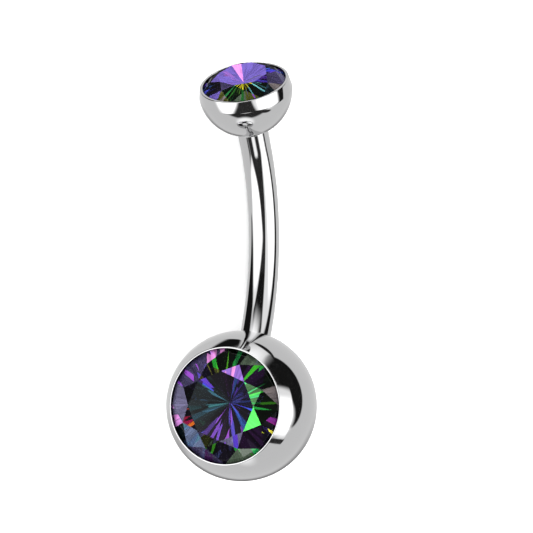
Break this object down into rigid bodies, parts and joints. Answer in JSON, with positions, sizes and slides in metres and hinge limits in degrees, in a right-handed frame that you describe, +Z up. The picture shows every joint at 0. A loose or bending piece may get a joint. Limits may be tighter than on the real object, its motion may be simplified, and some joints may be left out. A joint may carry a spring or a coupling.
{
  "type": "navel ring",
  "caption": "Curved navel ring with a large round stone set in its lower ball and a smaller stone in its push-fit top cup.",
  "frame": {"origin": "on the floor that the ring lies on, under the middle of its box", "axes": "+Z up from the floor, +Y along the ring from the ball to the cup, +X to the side where the bar bows out"},
  "size_m": [0.008, 0.022, 0.0079],
  "materials": {
    "polished_metal": "mirror-polished titanium",
    "coated_stone": "cut and polished, dark violet and green coating"
  },
  "bodies": {
    "barbell": {"bar": "polished_metal", "ball": "polished_metal", "ball_stone": "coated_stone"},
    "top": {"cup": "polished_metal", "cup_stone": "coated_stone", "pin": "polished_metal"}
  },
  "joints": [
    {"name": "top_pull", "type": "slide", "parent": "barbell", "child": "top", "axis": [-0.3029, 0.9088, 0.287], "range_m": [0, 0.006]}
  ]
}
